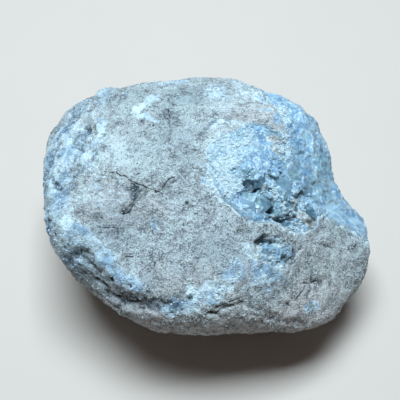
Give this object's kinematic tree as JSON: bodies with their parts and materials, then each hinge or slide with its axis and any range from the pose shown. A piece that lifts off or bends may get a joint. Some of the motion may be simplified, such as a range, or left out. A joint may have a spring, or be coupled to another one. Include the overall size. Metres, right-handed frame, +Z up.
{
  "type": "celestine cluster",
  "caption": "Rounded cobble of pale sandy rock, broken along one side to show blue celestine, with small open pockets of free-standing blue crystals. Rests on a small flat spot.",
  "frame": {"origin": "middle of the outer box, on the flat spot that the stone rests on", "axes": "+Z up; +X along the longest side, towards the lobe beside the broken side; +Y away from the side with the lower pocket"},
  "size_m": [0.1288, 0.1138, 0.0639],
  "materials": {
    "sandy_rock": "matte sandy grain",
    "massive_celestine": "sugary, with small bright facets",
    "celestine_crystal": "smooth, clear to milky"
  },
  "bodies": {
    "root": {"sandy_matrix": "sandy_rock", "celestine_lining": "massive_celestine", "lower_pocket_lining": "massive_celestine", "pocket_crystal_1": "celestine_crystal", "pocket_crystal_2": "celestine_crystal", "pocket_crystal_3": "celestine_crystal", "pocket_crystal_4": "celestine_crystal", "pocket_crystal_5": "celestine_crystal", "pocket_crystal_6": "celestine_crystal", "pocket_crystal_7": "celestine_crystal", "pocket_crystal_8": "celestine_crystal", "pocket_crystal_9": "celestine_crystal", "lower_pocket_crystal_1": "celestine_crystal", "lower_pocket_crystal_2": "celestine_crystal"}
  },
  "joints": []
}
